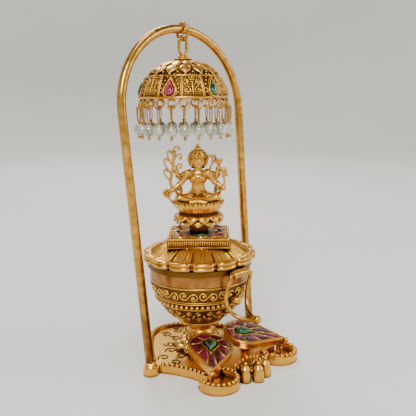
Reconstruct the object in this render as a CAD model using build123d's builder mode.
from build123d import *
import os
from math import asin, atan2, cos, degrees, hypot, pi, radians, sin, sqrt, tan

# A standing table shrine in antique gold finish, all sizes in millimetres.
# The origin is on the bowl's axis, on the surface that the stand rests on.
# The front of the stand is towards -Y; the bowl, lid and seated figure share the Z axis.

# --- Fits ---------------------------------------------------------------------------------
SOLDER_FIT = 0.02        # gap that solder fills round a soldered or riveted piece
PIN_FIT = 0.05           # radial running clearance of a hinge pin
LINK_GAP = 0.1           # play between two linked wires
SEAT_GAP = 0.05          # gap under the closed lid

# --- Base ---------------------------------------------------------------------------------
BACK_Y = 22.8            # rounded point at the back
BACK_BEND_X = 8.0        # where the rounded point meets the long flank
BACK_BEND_Y = 19.4
FLANK_BOW_X = 16.0       # a point on the slightly bowed flank
FLANK_BOW_Y = 10.0
SHOULDER_X = 23.0        # short upright edge beside the foot of the arch
SHOULDER_Y = -0.6
WAIST_X = 18.9           # half width where the side edge draws in
WAIST_Y = -11.0
FRONT_CORNER_X = 17.2
FRONT_Y = -25.5          # straight front edge
PLATE_THICK = 2.2
RIM_HEIGHT = 3.0
RIM_WIDTH = 1.2
BORDER_HEIGHT = 0.8      # beaded wire on the rim
BORDER_WIDTH = 0.9

CURL_X = 15.0            # crescent curls at the two front corners
CURL_Y = -24.4
CURL_RADIUS = 6.9
CURL_CUT_Y = -21.0       # straight back edge of a curl
CURL_WALL = 1.5
CURL_FLOOR = 1.0
CURL_HEIGHT = 3.4

BELL_CENTRES = [(-6.6, -28.4), (-3.2, -31.0), (1.2, -30.2)]
BELL_RADIUS = 2.1
BELL_HEIGHT = 7.0
BELL_ARM = 1.6           # width of the bar that holds a bell to the front edge

# --- Stone-set plaques --------------------------------------------------------------------
PLAQUE_TILT = 12.3       # degrees, back edge up
PLAQUE_THICK = 2.2
PLAQUE_TIP_TOP = 6.5     # height of the top face at the tip
TIP_X = 18.5
TIP_Y = -25.0
PLAQUE_GAP = 2.0         # between the two round ends, at the stand's middle
ROUND_Y = -14.2          # centre of the round end
ROUND_RADIUS = 7.7
STONE_POCKET = 0.7       # depth of the pockets that hold the stones
STONE_PROUD = 0.4
CELL_STONES = 9          # red stones round the green one
CELL_RIM = 0.8           # metal outside and inside the ring of red stones
CELL_GAP = 0.4           # strip of metal between two red stones
TEAR_RADIUS = 2.3        # green drop in the middle of a plaque
TEAR_LENGTH = 6.4
POST_RADIUS = 0.9
STUD_RADIUS = 1.6

# --- Bowl ---------------------------------------------------------------------------------
BOWL_BOTTOM = 12.6
BOWL_RIM = 33.6
BOWL_RADIUS = 17.4
BOWL_WALL = 1.1
BOWL_FLAT = 6.9          # radius of the ring under the bowl
BOWL_SHOULDER = 28.2     # height where the bowl's side becomes upright
BELLY_SHARE = 0.776      # of the bowl's radius, at a point half way up the curved side
BELLY_HEIGHT = 19.0
FLOOR_THICK = 1.6
BAND_LOW = 29.6
BAND_THICK = 0.4
NECK_RADIUS = 4.8
NECK_FLANGE = 6.2
FLANGE_THICK = 1.2
ROSETTE_RADIUS = 8.6
ROSETTE_HEIGHT = 4.2
ROSETTE_LEAVES = 12
SCREW_RADIUS = 1.2
SCREW_HEAD = 2.3
SCREW_HEAD_THICK = 1.0
SCREW_LENGTH = 7.0

# --- Lid ----------------------------------------------------------------------------------
LID_TURN = -45.0         # degrees; the plinth and figure face the front left corner
LID_OVERHANG = 1.2       # lid disc beyond the bowl's side
LIP_UNDERSIDE = 35.5
LIP_TOP = 38.6
LIP_OVERHANG = 2.9       # lobed lip beyond the bowl's side
PETAL_COUNT = 14
PETAL_LOBE = 4.75
BOSS_RADIUS = 10.8
PLINTH_FOOT = 41.6
PLUG_GAP = 0.5           # between the lid's plug and the bowl's bore
PLUG_DEPTH = 1.0
PLINTH_SIDE = 21.0
PLINTH_HEIGHT = 3.4
PLINTH_CHAMFER = 0.4
SIDE_STONE_INSET = 2.6   # stone's middle inside the plinth's side
CORNER_STONE_INSET = 5.15
PLINTH_STONE_RADIUS = 1.6
PLINTH_STONE_LENGTH = 5.2

# --- Lid hinge and hasp -------------------------------------------------------------------
HINGE_OUT = 2.2          # hinge axis beyond the bowl's side
HINGE_Z = 32.6
KNUCKLE_RADIUS = 1.1
HINGE_PIN_RADIUS = 0.5
HINGE_HALF = 5.0         # half length of the whole hinge
LID_KNUCKLE_HALF = 1.9
KNUCKLE_GAP = 0.15
LEAF_THICK = 1.0
HASP_OUT = 2.8           # hasp axis beyond the bowl's side
HASP_Z = 33.9
HASP_BARREL_RADIUS = 1.3
HASP_BARREL_HALF = 3.8
HASP_WIRE = 0.7
HASP_TAB_HALF = 3.0
LOOP_HALF = 4.55         # half width at the barrel
TIP_BALL_RADIUS = 1.4
STUD_BALL_RADIUS = 1.75
STUD_OUT = 1.1           # ball's centre beyond the bowl's side
STUD_BALL_Z = 24.1
STUD_STEM_RADIUS = 0.8

# --- Seated figure ------------------------------------------------------------------------
LOTUS_HEIGHT = 11.5
LOTUS_RADIUS = 9.2
LOTUS_FOOT = 3.4         # small round foot between the plinth's stones
LOTUS_FOOT_HEIGHT = 0.8
SEAT_DISH = 1.0
SEAT_LIP = 0.8
HEAD_RADIUS = 2.7
HALO_RADIUS = 3.9
HALO_THICK = 0.9
CROWN_HEIGHT = 3.0

# --- Arch and hanging dome ----------------------------------------------------------------
WIRE_RADIUS = 1.5
LEG_X = 25.0             # half spacing of the feet
LEG_Y = -1.9
ARCH_RADIUS = 27.2
ARCH_TOP = 115.4         # height of the wire's centre at the crown of the arch
ARCH_LEAN = 5.1          # degrees backwards
HANG_X = 1.6             # the ring has slid this far along the wire
EAR_RADIUS = 2.7
SOLDER_RADIUS = 2.4
SOLDER_HEIGHT = 1.0
RING_WIRE = 0.55
RING_INNER = 2.3
EYE_HALF = 1.75          # half width of the oval eye, to the wire's centre
EYE_DROP = 6.0           # length of the eye, to the wire's centre
CAP_RADIUS = 2.5
CAP_TOP_RADIUS = 1.8
CAP_HEIGHT = 2.6
DOME_RADIUS = 15.3
DOME_RISE = 14.4         # height of the full ellipse above its widest line
DOME_SKIRT = 1.0         # the rim is this far above the widest line
DOME_WALL = 0.8
DOME_FLAT = 3.1          # radius of the flat under the cap
DOME_STONES = 6
DOME_STONE_LATITUDE = 18.5
DOME_STONE_RADIUS = 1.95
DOME_STONE_LENGTH = 6.0
BEZEL_WALL = 0.4
BEZEL_PROUD = 0.5
BEZEL_DEPTH = 1.4
RIM_RING_RADIUS = 1.5
RIM_RING_WIRE = 0.35
RIM_RING_TILT = 17.0     # degrees; the lower side stands out

PEARL_COUNT = 22
PEARL_GAP = 0.4          # between two pearls that hang still
PEARL_DROP = 7.25        # from the link's pivot to the pearl's centre
PEARL_BORE = 0.3
DROP_WIRE = 0.22
DROP_LINK = 4.3          # length of the wire link
END_BEAD_RADIUS = 0.6

# --- Values worked out from the sizes above -----------------------------------------------
lean = radians(ARCH_LEAN)
arch_plane = Plane(origin=(0, LEG_Y, 0), x_dir=(1, 0, 0), z_dir=(0, -cos(lean), sin(lean)))
arch_length = ARCH_TOP / cos(lean)
arch_centre = arch_length - ARCH_RADIUS
leg_start = WIRE_RADIUS * tan(lean)
foot_to_centre = hypot(LEG_X, arch_centre - leg_start)
leg_run = sqrt(foot_to_centre**2 - ARCH_RADIUS**2)
leg_angle = atan2(arch_centre - leg_start, -LEG_X) - asin(ARCH_RADIUS / foot_to_centre)
leg_end = (LEG_X + leg_run * cos(leg_angle), leg_start + leg_run * sin(leg_angle))
leg_heading = (cos(leg_angle), sin(leg_angle))
arch_turn = 2 * (180 - degrees(leg_angle))

dome_y = LEG_Y + ARCH_TOP * tan(lean)
ring_major = RING_INNER + RING_WIRE
hang_drop = ARCH_RADIUS - sqrt(ARCH_RADIUS**2 - HANG_X**2)
ring_z = ARCH_TOP - hang_drop + WIRE_RADIUS + LINK_GAP - RING_INNER
eye_pivot_z = ring_z - ring_major
eye_top = eye_pivot_z + 2 * RING_WIRE + LINK_GAP
eye_bottom = eye_top - EYE_DROP
cap_foot = eye_bottom + RING_WIRE - CAP_HEIGHT
dome_flat_rise = DOME_RISE * sqrt(1 - (DOME_FLAT / DOME_RADIUS) ** 2)
dome_wide_z = cap_foot - dome_flat_rise
dome_rim_z = dome_wide_z + DOME_SKIRT
dome_axis = Plane(origin=(HANG_X, dome_y, 0))

ring_tilt = radians(RIM_RING_TILT)
rim_ring_outer = RIM_RING_RADIUS + RIM_RING_WIRE
rim_ring_z = dome_rim_z - rim_ring_outer * cos(ring_tilt)
rim_ring_place = DOME_RADIUS + rim_ring_outer * sin(ring_tilt) - RIM_RING_WIRE / 2
pearl_pivot_z = rim_ring_z - RIM_RING_RADIUS * cos(ring_tilt)
pearl_place = rim_ring_place + RIM_RING_RADIUS * sin(ring_tilt)
pearl_radius = pearl_place * sin(pi / PEARL_COUNT) - PEARL_GAP / 2

lid_plane = Plane(origin=(0, 0, 0), x_dir=(cos(radians(LID_TURN)), sin(radians(LID_TURN)), 0))
band_radius = BOWL_RADIUS + BAND_THICK
belly_radius = BELLY_SHARE * BOWL_RADIUS
lid_disc_radius = BOWL_RADIUS + LID_OVERHANG
petal_reach = BOWL_RADIUS + LIP_OVERHANG
plug_radius = BOWL_RADIUS - BOWL_WALL - PLUG_GAP
hinge_y = BOWL_RADIUS + HINGE_OUT
hasp_y = -BOWL_RADIUS - HASP_OUT
stud_ball_y = -BOWL_RADIUS - STUD_OUT
plinth_top = PLINTH_FOOT + PLINTH_HEIGHT
side_stone_place = PLINTH_SIDE / 2 - SIDE_STONE_INSET
corner_stone_place = PLINTH_SIDE / sqrt(2) - CORNER_STONE_INSET
seat_z = plinth_top + LOTUS_HEIGHT

tilt = radians(PLAQUE_TILT)
round_x = ROUND_RADIUS + PLAQUE_GAP / 2
plaque_up = Vector(0, -sin(tilt), cos(tilt))


def plaque_height(y):
    """Height of the plaques' top face above the table at a given y."""
    return PLAQUE_TIP_TOP + (y - TIP_Y) * tan(tilt)


def spot(centre, angle, radius, height):
    """Point at a polar place about a vertical axis, with 0 degrees towards -Y."""
    turn = radians(angle - 90)
    return Vector(centre.X + radius * cos(turn), centre.Y + radius * sin(turn), height)


def outward(angle):
    """Unit vector that points away from a vertical axis at the same polar place."""
    turn = radians(angle - 90)
    return Vector(cos(turn), sin(turn), 0)


def pear(radius, length, grow=0.0):
    """Pear outline, round end at the origin and tip towards +Y, grown all round by a fit."""
    touch = degrees(asin(radius / (length - radius)))
    reach = (length - radius) * (radius + grow) / radius
    radius = radius + grow
    with BuildSketch(mode=Mode.PRIVATE) as shape:
        with BuildLine():
            belly = CenterArc((0, 0), radius, 180 - touch, 180 + 2 * touch)
            Line(belly @ 0, (0, reach))
            Line(belly @ 1, (0, reach))
        make_face()
    return shape.sketch


def save(piece, name):
    """Label one finished sub-part and write it."""
    piece.part.label = name
    export_step(piece.part, f"parts/{name}.step")


os.makedirs("parts", exist_ok=True)

# --- Arch ---------------------------------------------------------------------------------
# One round wire, bent to a horseshoe arch that leans back a little.
with BuildLine(arch_plane) as arch_path:
    right_leg = Line((LEG_X, leg_start), leg_end)
    crown = JernArc(leg_end, leg_heading, ARCH_RADIUS, arch_turn)
    left_leg = Line((-leg_end[0], leg_end[1]), (-LEG_X, leg_start))
arch_line = arch_path.wires()[0]
feet = [(right_leg @ 0, right_leg % 0), (left_leg @ 1, left_leg % 1 * -1)]

with BuildPart() as arch_wire:
    with BuildSketch(Plane(origin=feet[0][0], z_dir=feet[0][1])):
        Circle(WIRE_RADIUS)
    sweep(path=arch_line)
save(arch_wire, "arch_wire")

with BuildPart() as arch_solder_feet:
    with BuildSketch(Plane.XY.offset(RIM_HEIGHT)):
        with Locations(*[(foot.X, LEG_Y) for foot, heading in feet]):
            Circle(SOLDER_RADIUS)
    extrude(amount=SOLDER_HEIGHT, taper=20)
    for foot, heading in feet:
        with BuildSketch(Plane(origin=foot, z_dir=heading)):
            Circle(WIRE_RADIUS + SOLDER_FIT)
        extrude(amount=3 * RIM_HEIGHT, mode=Mode.SUBTRACT)
save(arch_solder_feet, "arch_solder_feet")

# --- Base ---------------------------------------------------------------------------------
# A flat cast plate with a raised rim; crescent curls fill its two front corners.
with BuildSketch() as curl_faces:
    with Locations((CURL_X, CURL_Y)):
        Circle(CURL_RADIUS)
    with Locations((CURL_X, CURL_CUT_Y)):
        Rectangle(
            2 * CURL_RADIUS, 2 * CURL_RADIUS, align=(Align.CENTER, Align.MAX), mode=Mode.INTERSECT
        )
    mirror(about=Plane.YZ)

with BuildSketch() as plate_face:
    with BuildLine():
        turn_point = (0.5 * BACK_BEND_X, 0.25 * BACK_BEND_Y + 0.75 * BACK_Y)
        back = ThreePointArc((0, BACK_Y), turn_point, (BACK_BEND_X, BACK_BEND_Y))
        flank = ThreePointArc(back @ 1, (FLANK_BOW_X, FLANK_BOW_Y), (SHOULDER_X, SHOULDER_Y))
        shoulder = Line(flank @ 1, (SHOULDER_X, 2 * LEG_Y - SHOULDER_Y))
        side = ThreePointArc(shoulder @ 1, (WAIST_X, WAIST_Y), (FRONT_CORNER_X, CURL_CUT_Y))
        Polyline(side @ 1, (FRONT_CORNER_X, FRONT_Y), (0, FRONT_Y))
        mirror(about=Plane.YZ)
    make_face()
    add(curl_faces.sketch, mode=Mode.SUBTRACT)

with BuildPart() as base_plate:
    with BuildSketch():
        add(plate_face.sketch)
    extrude(amount=PLATE_THICK)
    with BuildSketch():
        add(plate_face.sketch)
        offset(plate_face.sketch, amount=-RIM_WIDTH, mode=Mode.SUBTRACT)
    extrude(amount=RIM_HEIGHT)
    with BuildSketch():
        with Locations(*[(foot.X, LEG_Y) for foot, heading in feet]):
            Circle(EAR_RADIUS)
    extrude(amount=RIM_HEIGHT)
    for foot, heading in feet:
        with BuildSketch(Plane(origin=foot - heading * WIRE_RADIUS, z_dir=heading)):
            Circle(WIRE_RADIUS + SOLDER_FIT)
        extrude(amount=3 * RIM_HEIGHT, mode=Mode.SUBTRACT)
    with Locations((0, 0, PLATE_THICK)):
        Hole(SCREW_RADIUS + SOLDER_FIT)
    with BuildSketch():
        Circle(SCREW_HEAD + SOLDER_FIT)
    extrude(amount=SCREW_HEAD_THICK, mode=Mode.SUBTRACT)
save(base_plate, "base_plate")

with BuildPart() as base_bead_border:
    border_edge = (RIM_WIDTH - BORDER_WIDTH) / 2
    with BuildSketch(Plane.XY.offset(RIM_HEIGHT)):
        offset(plate_face.sketch, amount=-border_edge)
        offset(plate_face.sketch, amount=-border_edge - BORDER_WIDTH, mode=Mode.SUBTRACT)
        with Locations(*[(foot.X, LEG_Y) for foot, heading in feet]):
            Circle(SOLDER_RADIUS + SOLDER_FIT, mode=Mode.SUBTRACT)
    extrude(amount=BORDER_HEIGHT)
save(base_bead_border, "base_bead_border")

with BuildPart() as base_curls:
    with BuildSketch():
        add(curl_faces.sketch)
    extrude(amount=CURL_FLOOR)
    with BuildSketch():
        add(curl_faces.sketch)
        with Locations((CURL_X, CURL_Y), (-CURL_X, CURL_Y)):
            Circle(CURL_RADIUS - CURL_WALL, mode=Mode.SUBTRACT)
        with Locations((0, CURL_CUT_Y)):
            Rectangle(4 * CURL_X, CURL_WALL, align=(Align.CENTER, Align.MAX), mode=Mode.SUBTRACT)
    extrude(amount=CURL_HEIGHT)
    # A short post in each curl carries the tip of the plaque above it.
    post_place = (TIP_X - 2 * POST_RADIUS, TIP_Y + 2 * POST_RADIUS)
    with BuildSketch():
        with Locations(post_place, (-post_place[0], post_place[1])):
            Circle(POST_RADIUS)
    extrude(amount=PLAQUE_TIP_TOP)
    underside = Plane(origin=(0, TIP_Y, PLAQUE_TIP_TOP), z_dir=plaque_up).offset(-PLAQUE_THICK)
    split(bisect_by=underside, keep=Keep.BOTTOM)
save(base_curls, "base_curls")

# Three small bells stand side by side at the middle of the front edge, each on a short bar.
with BuildPart() as front_ornament:
    with BuildSketch():
        with Locations(((BELL_CENTRES[0][0] + BELL_CENTRES[-1][0]) / 2, FRONT_Y)):
            Rectangle(BELL_CENTRES[-1][0] - BELL_CENTRES[0][0], BELL_ARM, align=(Align.CENTER, Align.MAX))
    extrude(amount=RIM_HEIGHT)
    for bell_x, bell_y in BELL_CENTRES:
        with BuildSketch():
            with Locations((bell_x, FRONT_Y)):
                Rectangle(BELL_ARM, FRONT_Y - bell_y, align=(Align.CENTER, Align.MAX))
        extrude(amount=RIM_HEIGHT)
        with BuildSketch(Plane(origin=(bell_x, bell_y, 0), x_dir=(1, 0, 0), z_dir=(0, -1, 0))):
            with BuildLine():
                bell_wall = ThreePointArc(
                    (BELL_RADIUS * 0.8, 0),
                    (BELL_RADIUS, BELL_HEIGHT * 0.35),
                    (BELL_RADIUS * 0.45, BELL_HEIGHT * 0.8),
                )
                Polyline(bell_wall @ 1, (0, BELL_HEIGHT), (0, 0), bell_wall @ 0)
            make_face()
        revolve(axis=Axis((bell_x, bell_y, 0), (0, 0, 1)))
save(front_ornament, "front_ornament")

# --- Plaques ------------------------------------------------------------------------------
# Two mirrored drop-shaped cups, tilted towards the front, with pockets for their stones.
tip_reach = hypot(round_x - TIP_X, (ROUND_Y - TIP_Y) / cos(tilt))


def on_plaque(side, x, y):
    """Plane on a plaque's top face above the table point (side * x, y), with +Y uphill."""
    return Plane(origin=(side * x, y, plaque_height(y)), x_dir=(1, 0, 0), z_dir=plaque_up)


def plaque_outline():
    """Plaque outline about its round end, with its tip towards +Y before it is turned."""
    return pear(ROUND_RADIUS, tip_reach + ROUND_RADIUS)


def pear_point(radius, length, share):
    """Point at a share of the way round a pear outline, from its tip."""
    reach = length - radius
    touch = asin(radius / reach)
    straight = reach * cos(touch)
    round_run = radius * (pi + 2 * touch)
    along = (share % 1) * (2 * straight + round_run)
    if along > straight + round_run / 2:
        x, y = pear_point(radius, length, 1 - share % 1)
        return -x, y
    if along <= straight:
        return along * sin(touch), reach - along * cos(touch)
    turn = touch - (along - straight) / radius
    return radius * cos(turn), radius * sin(turn)


def cell_stone(index, grow):
    """One red stone between the green drop and the rim; the first one fills the tip."""
    shares = [(index + step / 4) / CELL_STONES for step in range(-2, 3)]
    outer_radius = ROUND_RADIUS - CELL_RIM
    outer = [pear_point(outer_radius, tip_reach + outer_radius - CELL_RIM, share) for share in shares]
    inner_radius = TEAR_RADIUS + CELL_RIM
    inner = [pear_point(inner_radius, TEAR_LENGTH + 3 * CELL_RIM, share) for share in reversed(shares)]
    with BuildSketch(mode=Mode.PRIVATE) as cell:
        with BuildLine():
            Polyline(*outer, *[(x, y - TEAR_RADIUS / 2) for x, y in inner], close=True)
        make_face()
        offset(amount=grow - CELL_GAP / 2, kind=Kind.INTERSECTION)
    return cell.sketch


def set_plane(side):
    """Plane of a plaque's top face at its round end, turned so +Y runs to the tip."""
    flat = on_plaque(side, round_x, ROUND_Y)
    fall = plaque_height(TIP_Y) - plaque_height(ROUND_Y)
    heading = Vector(side * (TIP_X - round_x), TIP_Y - ROUND_Y, fall)
    return Plane(origin=flat.origin, x_dir=heading.cross(plaque_up), z_dir=plaque_up)


def ruby_faces(grow):
    """All the red stones' outlines of one plaque, grown all round by a fit."""
    with BuildSketch(mode=Mode.PRIVATE) as group:
        for index in range(CELL_STONES):
            add(cell_stone(index, grow))
    return group.sketch


for side, name in ((-1, "left_plaque"), (1, "right_plaque")):
    face_plane = set_plane(side)
    with BuildPart() as plaque:
        with BuildSketch(face_plane.offset(-PLAQUE_THICK)):
            add(plaque_outline())
        extrude(amount=PLAQUE_THICK)
        with BuildSketch(face_plane.offset(-STONE_POCKET)):
            add(ruby_faces(SOLDER_FIT))
            with Locations((0, -TEAR_RADIUS / 2)):
                add(pear(TEAR_RADIUS, TEAR_LENGTH, SOLDER_FIT))
        extrude(amount=STONE_POCKET, mode=Mode.SUBTRACT)
        # A stud under the round end stands on the base plate.
        with BuildSketch(Plane.XY.offset(PLATE_THICK)):
            with Locations((side * round_x, ROUND_Y)):
                Circle(STUD_RADIUS)
        extrude(amount=plaque_height(ROUND_Y) - PLATE_THICK - PLAQUE_THICK)
    save(plaque, name)

with BuildPart() as plaque_rubies:
    for side in (-1, 1):
        with BuildSketch(set_plane(side).offset(-STONE_POCKET)):
            add(ruby_faces(0))
        extrude(amount=STONE_POCKET + STONE_PROUD)
save(plaque_rubies, "plaque_rubies")

with BuildPart() as plaque_emeralds:
    for side in (-1, 1):
        with BuildSketch(set_plane(side).offset(-STONE_POCKET)):
            with Locations((0, -TEAR_RADIUS / 2)):
                add(pear(TEAR_RADIUS, TEAR_LENGTH))
        extrude(amount=STONE_POCKET + 2 * STONE_PROUD)
save(plaque_emeralds, "plaque_emeralds")

# --- Bowl ---------------------------------------------------------------------------------
# The neck stands on the base plate, and a screw from below draws it down.
with BuildPart() as bowl_neck:
    with BuildSketch(Plane.XY.offset(PLATE_THICK)):
        Circle(NECK_FLANGE)
    extrude(amount=FLANGE_THICK)
    with BuildSketch(Plane.XY.offset(PLATE_THICK)):
        Circle(NECK_RADIUS)
    extrude(amount=BOWL_BOTTOM - PLATE_THICK)
    with BuildSketch(Plane.XY.offset(PLATE_THICK)):
        Circle(SCREW_RADIUS + SOLDER_FIT)
    extrude(amount=SCREW_LENGTH, mode=Mode.SUBTRACT)
save(bowl_neck, "bowl_neck")

with BuildPart() as foot_screw:
    with BuildSketch():
        Circle(SCREW_HEAD)
    extrude(amount=SCREW_HEAD_THICK)
    with BuildSketch():
        Circle(SCREW_RADIUS)
    extrude(amount=SCREW_HEAD_THICK + SCREW_LENGTH)
save(foot_screw, "foot_screw")

with BuildPart() as foot_rosette:
    leaf_radius = (ROSETTE_RADIUS - NECK_FLANGE) * 1.1
    with BuildSketch(Plane.XY.offset(PLATE_THICK)):
        Circle(ROSETTE_RADIUS - leaf_radius)
        with PolarLocations(ROSETTE_RADIUS - leaf_radius, ROSETTE_LEAVES):
            Circle(leaf_radius)
    extrude(amount=ROSETTE_HEIGHT, taper=25)
    with BuildSketch(Plane.XY.offset(PLATE_THICK)):
        Circle(NECK_FLANGE + SOLDER_FIT)
    extrude(amount=FLANGE_THICK, mode=Mode.SUBTRACT)
    with BuildSketch(Plane.XY.offset(PLATE_THICK)):
        Circle(NECK_RADIUS + SOLDER_FIT)
    extrude(amount=ROSETTE_HEIGHT, mode=Mode.SUBTRACT)
save(foot_rosette, "foot_rosette")

with BuildPart() as bowl:
    inner = BOWL_RADIUS - BOWL_WALL
    with BuildSketch(Plane.XZ):
        with BuildLine():
            Line((0, BOWL_BOTTOM), (BOWL_FLAT, BOWL_BOTTOM))
            ThreePointArc(
                (BOWL_FLAT, BOWL_BOTTOM), (belly_radius, BELLY_HEIGHT), (BOWL_RADIUS, BOWL_SHOULDER)
            )
            Polyline(
                (BOWL_RADIUS, BOWL_SHOULDER),
                (BOWL_RADIUS, BOWL_RIM),
                (inner, BOWL_RIM),
                (inner, BOWL_SHOULDER),
            )
            ThreePointArc(
                (inner, BOWL_SHOULDER),
                (belly_radius - BOWL_WALL, BELLY_HEIGHT + BOWL_WALL / 2),
                (BOWL_FLAT - BOWL_WALL, BOWL_BOTTOM + FLOOR_THICK),
            )
            Polyline(
                (BOWL_FLAT - BOWL_WALL, BOWL_BOTTOM + FLOOR_THICK),
                (0, BOWL_BOTTOM + FLOOR_THICK),
                (0, BOWL_BOTTOM),
            )
        make_face()
    revolve(axis=Axis.Z)
    with BuildSketch(Plane(origin=(0, stud_ball_y, STUD_BALL_Z), x_dir=(1, 0, 0), z_dir=(0, 1, 0))):
        Circle(STUD_STEM_RADIUS + SOLDER_FIT)
    extrude(amount=BOWL_RADIUS / 2, mode=Mode.SUBTRACT)
save(bowl, "bowl")

with BuildPart() as bowl_band:
    with BuildSketch(Plane.XY.offset(BAND_LOW)):
        Circle(band_radius)
        Circle(BOWL_RADIUS, mode=Mode.SUBTRACT)
    extrude(amount=BOWL_RIM - BAND_LOW)
save(bowl_band, "bowl_band")

with BuildPart() as ball_stud:
    with Locations((0, stud_ball_y, STUD_BALL_Z)):
        Sphere(STUD_BALL_RADIUS)
    with BuildSketch(Plane(origin=(0, stud_ball_y, STUD_BALL_Z), x_dir=(1, 0, 0), z_dir=(0, 1, 0))):
        Circle(STUD_STEM_RADIUS)
    extrude(amount=-stud_ball_y - BOWL_RADIUS + 2 * BOWL_WALL)
save(ball_stud, "ball_stud")

# --- Lid ----------------------------------------------------------------------------------
with BuildPart() as lid_disc:
    with BuildSketch(Plane.XY.offset(BOWL_RIM + SEAT_GAP)):
        Circle(lid_disc_radius)
    extrude(amount=LIP_UNDERSIDE - BOWL_RIM - SEAT_GAP)
    with BuildSketch(Plane.XY.offset(LIP_UNDERSIDE)):
        Circle(BOSS_RADIUS)
    extrude(amount=PLINTH_FOOT - LIP_UNDERSIDE)
    with BuildSketch(Plane.XY.offset(BOWL_RIM + SEAT_GAP)):
        Circle(plug_radius)
        Circle(plug_radius - BOWL_WALL, mode=Mode.SUBTRACT)
    extrude(amount=-PLUG_DEPTH - SEAT_GAP)
save(lid_disc, "lid_disc")

# Fan-shaped petals slope down from the boss to a lobed lip.
with BuildPart() as lid_petals:
    with BuildSketch(Plane.XY.offset(LIP_UNDERSIDE)):
        Circle(petal_reach - PETAL_LOBE)
        with PolarLocations(petal_reach - PETAL_LOBE, PETAL_COUNT, start_angle=-90):
            Circle(PETAL_LOBE)
    extrude(amount=PLINTH_FOOT - LIP_UNDERSIDE)
    with BuildSketch(Plane.XZ):
        Polygon(
            (BOSS_RADIUS, LIP_UNDERSIDE),
            (petal_reach + 1, LIP_UNDERSIDE),
            (petal_reach + 1, LIP_TOP),
            (petal_reach - 2, LIP_TOP),
            (BOSS_RADIUS, PLINTH_FOOT),
            align=None,
        )
    revolve(axis=Axis.Z, mode=Mode.INTERSECT)
save(lid_petals, "lid_petals")


def plinth_stones(place, start, grow=0.0):
    """Four pear outlines across the lid's radii, at one distance from the axis."""
    stone = Rot(0, 0, 180) * Pos(0, PLINTH_STONE_RADIUS - PLINTH_STONE_LENGTH / 2) * pear(
        PLINTH_STONE_RADIUS, PLINTH_STONE_LENGTH, grow
    )
    with BuildSketch(mode=Mode.PRIVATE) as group:
        with PolarLocations(place, 4, start_angle=start):
            add(stone)
    return group.sketch


stone_rings = (("plinth_emeralds", side_stone_place, -90), ("plinth_rubies", corner_stone_place, -45))
with BuildPart() as plinth:
    with BuildSketch(lid_plane.offset(PLINTH_FOOT)):
        Rectangle(PLINTH_SIDE, PLINTH_SIDE)
    extrude(amount=PLINTH_HEIGHT)
    chamfer(plinth.faces().sort_by(Axis.Z)[-1].edges(), length=PLINTH_CHAMFER)
    with BuildSketch(lid_plane.offset(plinth_top - STONE_POCKET)):
        for name, place, start in stone_rings:
            add(plinth_stones(place, start, SOLDER_FIT))
    extrude(amount=STONE_POCKET, mode=Mode.SUBTRACT)
save(plinth, "plinth")

for name, place, start in stone_rings:
    with BuildPart() as stones:
        with BuildSketch(lid_plane.offset(plinth_top - STONE_POCKET)):
            add(plinth_stones(place, start))
        extrude(amount=STONE_POCKET + STONE_PROUD)
    save(stones, name)

# --- Hinge and hasp -----------------------------------------------------------------------
hinge_plane = Plane(origin=(0, hinge_y, HINGE_Z), x_dir=(0, 1, 0), z_dir=(1, 0, 0))

with BuildPart() as bowl_hinge_ears:
    for side in (-1, 1):
        near = LID_KNUCKLE_HALF + KNUCKLE_GAP
        with BuildSketch(hinge_plane.offset(side * near)):
            Circle(KNUCKLE_RADIUS)
        extrude(amount=side * (HINGE_HALF - near))
        with BuildSketch(Plane.XY.offset(HINGE_Z - LEAF_THICK / 2)):
            with Locations((side * (HINGE_HALF + near) / 2, hinge_y)):
                Rectangle(HINGE_HALF - near, hinge_y - BOWL_RADIUS * 0.9, align=(Align.CENTER, Align.MAX))
            Circle(band_radius, mode=Mode.SUBTRACT)
        extrude(amount=LEAF_THICK)
    with BuildSketch(hinge_plane):
        Circle(HINGE_PIN_RADIUS + PIN_FIT)
    extrude(amount=HINGE_HALF, both=True, mode=Mode.SUBTRACT)
save(bowl_hinge_ears, "bowl_hinge_ears")

with BuildPart() as lid_hinge_ear:
    with BuildSketch(hinge_plane):
        Circle(KNUCKLE_RADIUS)
        Rectangle(LEAF_THICK, LIP_UNDERSIDE - HINGE_Z, align=(Align.CENTER, Align.MIN))
    extrude(amount=LID_KNUCKLE_HALF, both=True)
    with BuildSketch(hinge_plane):
        Circle(HINGE_PIN_RADIUS + PIN_FIT)
    extrude(amount=HINGE_HALF, both=True, mode=Mode.SUBTRACT)
save(lid_hinge_ear, "lid_hinge_ear")

with BuildPart() as hinge_pin:
    with BuildSketch(hinge_plane):
        Circle(HINGE_PIN_RADIUS)
    extrude(amount=HINGE_HALF + KNUCKLE_GAP, both=True)
save(hinge_pin, "hinge_pin")

hasp_plane = Plane(origin=(0, hasp_y, HASP_Z), x_dir=(0, 1, 0), z_dir=(1, 0, 0))
with BuildPart() as hasp_barrel:
    with BuildSketch(hasp_plane):
        Circle(HASP_BARREL_RADIUS)
    extrude(amount=HASP_BARREL_HALF, both=True)
    with BuildSketch(hasp_plane):
        Rectangle(HASP_BARREL_RADIUS, LIP_UNDERSIDE - HASP_Z, align=(Align.MIN, Align.MIN))
    extrude(amount=HASP_TAB_HALF, both=True)
    with BuildSketch(hasp_plane):
        Circle(HASP_WIRE + PIN_FIT)
    extrude(amount=HASP_BARREL_HALF, both=True, mode=Mode.SUBTRACT)
save(hasp_barrel, "hasp_barrel")

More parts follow.
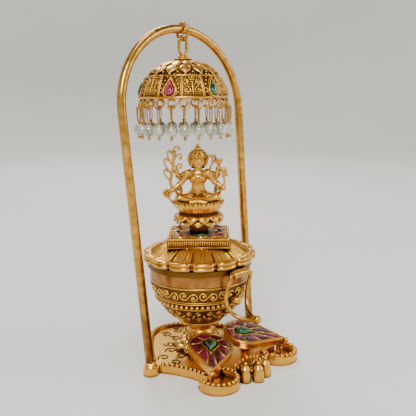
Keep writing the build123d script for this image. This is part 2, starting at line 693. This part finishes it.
# The hasp is one wire that runs through the barrel; its arms meet in a ball below.
arm = [
    (LOOP_HALF, hasp_y, HASP_Z),
    (LOOP_HALF + 0.8, hasp_y + 1.9, HASP_Z - 6.4),
    (LOOP_HALF + 0.5, hasp_y + 1.9, HASP_Z - 10.6),
    (LOOP_HALF - 1.2, hasp_y - 0.3, HASP_Z - 14.2),
    (LOOP_HALF - 3.0, hasp_y - 4.2, HASP_Z - 14.9),
]
hasp_tip = (0, hasp_y - 7.6, HASP_Z - 14.4)
other_arm = [(-x, y, z) for x, y, z in arm]
with BuildLine() as hasp_path:
    FilletPolyline(hasp_tip, *reversed(arm), *other_arm, hasp_tip, radius=0.9)
with BuildPart() as hasp_loop:
    with BuildSketch(Plane(origin=hasp_path.line @ 0, z_dir=hasp_path.line % 0)):
        Circle(HASP_WIRE)
    sweep(path=hasp_path.wires()[0])
    with Locations(hasp_tip):
        Sphere(TIP_BALL_RADIUS)
save(hasp_loop, "hasp_loop")

# --- Seated figure ------------------------------------------------------------------------
lotus_waist = (0.7 * LOTUS_RADIUS, plinth_top + 0.57 * LOTUS_HEIGHT)
with BuildPart() as lotus_seat:
    with BuildSketch(Plane.XZ):
        with BuildLine():
            Polyline(
                (0, plinth_top),
                (LOTUS_FOOT, plinth_top),
                (LOTUS_FOOT, plinth_top + LOTUS_FOOT_HEIGHT),
                (0.9 * LOTUS_RADIUS, plinth_top + 0.28 * LOTUS_HEIGHT),
                (0.95 * LOTUS_RADIUS, plinth_top + 0.47 * LOTUS_HEIGHT),
                lotus_waist,
            )
            ThreePointArc(
                lotus_waist, (0.93 * LOTUS_RADIUS, plinth_top + 0.75 * LOTUS_HEIGHT), (LOTUS_RADIUS, seat_z)
            )
            Polyline(
                (LOTUS_RADIUS, seat_z),
                (LOTUS_RADIUS - SEAT_LIP, seat_z),
                (0.8 * LOTUS_RADIUS, seat_z - SEAT_DISH),
                (0, seat_z - SEAT_DISH),
                (0, plinth_top),
            )
        make_face()
    revolve(axis=Axis.Z)
save(lotus_seat, "lotus_seat")


def on_lid(x, y, z):
    """Point given in the figure's own frame: x to its viewer's right, y to its back."""
    return lid_plane.from_local_coords(Vector(x, y, z))


lap_z = seat_z - SEAT_DISH
head_z = lap_z + 16.0
ARMS = [
    [(-4.2, 0.4, 11.0), (-5.6, 0.0, 7.6), (-3.4, -2.6, 6.4)],
    [(4.2, 0.4, 11.0), (6.2, 0.0, 7.4), (9.0, -1.2, 6.2)],
    [(-4.0, 1.0, 11.0), (-6.2, 1.6, 8.6), (-7.0, 0.6, 12.0)],
    [(4.0, 1.0, 11.0), (6.6, 1.6, 9.0), (7.4, 0.6, 13.0)],
]
SPRAY = [
    [(-5.0, 0.0, 2.2), (-8.6, 0.2, 2.6), (-9.6, 0.2, 5.0), (-9.2, 0.4, 12.0), (-7.2, 0.4, 20.4)],
    [(-9.2, 0.4, 12.0), (-11.4, 0.4, 17.0)],
    [(-9.3, 0.4, 10.0), (-12.0, 0.4, 15.0)],
    [(-9.2, 0.4, 12.0), (-6.6, 0.4, 16.8)],
]
with BuildPart() as figure:
    with BuildSketch(lid_plane.offset(lap_z)):
        Ellipse(6.6, 4.6)
    extrude(amount=3.4, taper=12)
    for low, wide, deep, high, top_wide, top_deep in (
        (3.0, 3.4, 2.4, 7.0, 2.6, 1.9),
        (7.0, 2.6, 1.9, 11.6, 4.6, 2.2),
        (11.6, 4.6, 2.2, 13.4, 1.3, 1.3),
    ):
        with BuildSketch(lid_plane.offset(lap_z + low)):
            Ellipse(wide, deep)
        with BuildSketch(lid_plane.offset(lap_z + high)):
            Ellipse(top_wide, top_deep)
        loft()
    with Locations(on_lid(0, -0.2, head_z)):
        Sphere(HEAD_RADIUS)
    with BuildSketch(lid_plane.offset(head_z + HEAD_RADIUS * 0.6)):
        Circle(HEAD_RADIUS * 0.75)
    extrude(amount=CROWN_HEIGHT, taper=25)
    back = lid_plane.y_dir
    with BuildSketch(Plane(origin=on_lid(0, HEAD_RADIUS * 0.5, head_z), z_dir=back)):
        Circle(HALO_RADIUS)
    extrude(amount=HALO_THICK)
    for route, thick in [(points, 0.85) for points in ARMS] + [(points, 0.5) for points in SPRAY]:
        joints = [on_lid(x, y, lap_z + z) for x, y, z in route]
        for near, far in zip(joints, joints[1:]):
            with BuildSketch(Plane(origin=near, z_dir=far - near)):
                Circle(thick)
            extrude(amount=(far - near).length)
            with Locations(far):
                Sphere(thick * 1.05)
save(figure, "figure")

# --- Hanging dome -------------------------------------------------------------------------
with BuildPart() as hanger_ring:
    with Locations(Location((HANG_X, dome_y, ring_z), (0, 90, 0))):
        Torus(ring_major, RING_WIRE)
save(hanger_ring, "hanger_ring")

with BuildPart() as dome_eye:
    eye_low = eye_bottom + EYE_HALF
    eye_high = eye_top - EYE_HALF
    with BuildLine(Plane(origin=(HANG_X, dome_y, 0), x_dir=(1, 0, 0), z_dir=(0, -1, 0))) as eye_path:
        Line((EYE_HALF, eye_low), (EYE_HALF, eye_high))
        CenterArc((0, eye_high), EYE_HALF, 0, 180)
        Line((-EYE_HALF, eye_high), (-EYE_HALF, eye_low))
        CenterArc((0, eye_low), EYE_HALF, 180, 180)
    with BuildSketch(Plane.XY.offset(eye_low)):
        with Locations((HANG_X + EYE_HALF, dome_y)):
            Circle(RING_WIRE)
    sweep(path=eye_path.wires()[0])
save(dome_eye, "dome_eye")

with BuildPart() as dome_cap:
    with BuildSketch(dome_axis.offset(cap_foot)):
        Circle(CAP_RADIUS)
    with BuildSketch(dome_axis.offset(cap_foot + CAP_HEIGHT - 2 * RING_WIRE)):
        Circle(CAP_TOP_RADIUS)
    loft()
save(dome_cap, "dome_cap")

dome_centre = Vector(HANG_X, dome_y, 0)
stone_lift = radians(DOME_STONE_LATITUDE)
stone_place = DOME_RADIUS * cos(stone_lift)
stone_height = dome_wide_z + DOME_RISE * sin(stone_lift)
stone_pitch = atan2(sin(stone_lift) / DOME_RISE, cos(stone_lift) / DOME_RADIUS)
setting_low = 0.5 * (DOME_STONE_LENGTH - 2 * DOME_STONE_RADIUS)


def dome_setting(index):
    """Plane on the dome under one pear-shaped stone, with +Y up the dome."""
    angle = index * 360 / DOME_STONES
    away = outward(angle)
    normal = away * cos(stone_pitch) + Vector(0, 0, sin(stone_pitch))
    across = Vector(0, 0, 1).cross(away)
    level = Plane(origin=spot(dome_centre, angle, stone_place, stone_height), x_dir=across, z_dir=normal)
    return Plane(origin=level.from_local_coords(Vector(0, -setting_low, 0)), x_dir=across, z_dir=normal)


inner_radius = DOME_RADIUS - DOME_WALL
inner_rise = DOME_RISE - DOME_WALL
rim_outside = degrees(asin(DOME_SKIRT / DOME_RISE))
rim_inside = degrees(asin(DOME_SKIRT / inner_rise))
flat_turn = 90 - degrees(asin(DOME_FLAT / DOME_RADIUS))
with BuildPart() as dome_shell:
    with BuildSketch(Plane(origin=(HANG_X, dome_y, dome_wide_z), x_dir=(1, 0, 0), z_dir=(0, -1, 0))):
        with BuildLine():
            outside = EllipticalCenterArc(
                (0, 0), DOME_RADIUS, DOME_RISE, start_angle=rim_outside, arc_size=flat_turn - rim_outside
            )
            inside = EllipticalCenterArc(
                (0, 0), inner_radius, inner_rise, start_angle=rim_inside, arc_size=90 - rim_inside
            )
            Line(outside @ 0, inside @ 0)
            Polyline(outside @ 1, (0, dome_flat_rise), inside @ 1)
        make_face()
    revolve(axis=Axis((HANG_X, dome_y, 0), (0, 0, 1)))
    for index in range(DOME_STONES):
        with BuildSketch(dome_setting(index).offset(-2 * BEZEL_DEPTH)):
            add(pear(DOME_STONE_RADIUS, DOME_STONE_LENGTH, BEZEL_WALL + SOLDER_FIT))
    extrude(amount=3 * BEZEL_DEPTH, mode=Mode.SUBTRACT)
save(dome_shell, "dome_shell")

with BuildPart() as dome_bezels:
    for index in range(DOME_STONES):
        with BuildSketch(dome_setting(index).offset(-BEZEL_DEPTH)):
            add(pear(DOME_STONE_RADIUS, DOME_STONE_LENGTH, BEZEL_WALL))
            add(pear(DOME_STONE_RADIUS, DOME_STONE_LENGTH), mode=Mode.SUBTRACT)
        extrude(amount=BEZEL_DEPTH + BEZEL_PROUD)
save(dome_bezels, "dome_bezels")

for start, name in ((0, "dome_emeralds"), (1, "dome_rubies")):
    with BuildPart() as stones:
        for index in range(start, DOME_STONES, 2):
            with BuildSketch(dome_setting(index).offset(-BEZEL_DEPTH)):
                add(pear(DOME_STONE_RADIUS, DOME_STONE_LENGTH, -SOLDER_FIT))
            extrude(amount=BEZEL_DEPTH + BEZEL_PROUD + STONE_PROUD)
    save(stones, name)

# A ring of small open rings hangs from the rim; a pearl drop swings from each.
with BuildPart() as dome_rim_rings:
    for index in range(PEARL_COUNT):
        angle = (index + 0.5) * 360 / PEARL_COUNT
        away = outward(angle)
        normal = away * cos(ring_tilt) + Vector(0, 0, sin(ring_tilt))
        middle = spot(dome_centre, angle, rim_ring_place, rim_ring_z)
        with Locations(Plane(origin=middle, z_dir=normal)):
            Torus(RIM_RING_RADIUS, RIM_RING_WIRE)
save(dome_rim_rings, "dome_rim_rings")

link_half = RIM_RING_WIRE + LINK_GAP + DROP_WIRE + 0.05
link_high = RIM_RING_WIRE + LINK_GAP + DROP_WIRE - link_half
link_low = link_high - DROP_LINK + 2 * link_half
pearl_bottom = -PEARL_DROP - pearl_radius
bead_centre = pearl_bottom - END_BEAD_RADIUS + 0.05
for index in range(PEARL_COUNT):
    angle = (index + 0.5) * 360 / PEARL_COUNT
    pivot = spot(dome_centre, angle, pearl_place, pearl_pivot_z)
    away = outward(angle)
    standing = Plane(origin=pivot, x_dir=away, z_dir=away.cross(Vector(0, 0, 1)))
    level = Plane(origin=pivot, x_dir=away, z_dir=(0, 0, 1))
    with BuildPart() as drop:
        with BuildSketch(standing):
            with BuildLine():
                pearl_arc = CenterArc((0, -PEARL_DROP), pearl_radius, -90, 180)
                Line(pearl_arc @ 0, pearl_arc @ 1)
            make_face()
        revolve(axis=Axis(pivot, (0, 0, 1)))
        with BuildSketch(level.offset(pearl_bottom)):
            Circle(PEARL_BORE)
        extrude(amount=2 * pearl_radius, mode=Mode.SUBTRACT)
        with BuildLine(standing) as link_path:
            Line((link_half, link_low), (link_half, link_high))
            CenterArc((0, link_high), link_half, 0, 180)
            Line((-link_half, link_high), (-link_half, link_low))
            CenterArc((0, link_low), link_half, 180, 180)
        with BuildSketch(level.offset(link_low)):
            with Locations((link_half, 0)):
                Circle(DROP_WIRE)
        sweep(path=link_path.wires()[0])
        with BuildSketch(level.offset(bead_centre)):
            Circle(DROP_WIRE)
        extrude(amount=link_low - link_half - bead_centre)
        with Locations(level.from_local_coords(Vector(0, 0, bead_centre))):
            Sphere(END_BEAD_RADIUS)
    save(drop, f"pearl_drop_{index + 1:02d}")
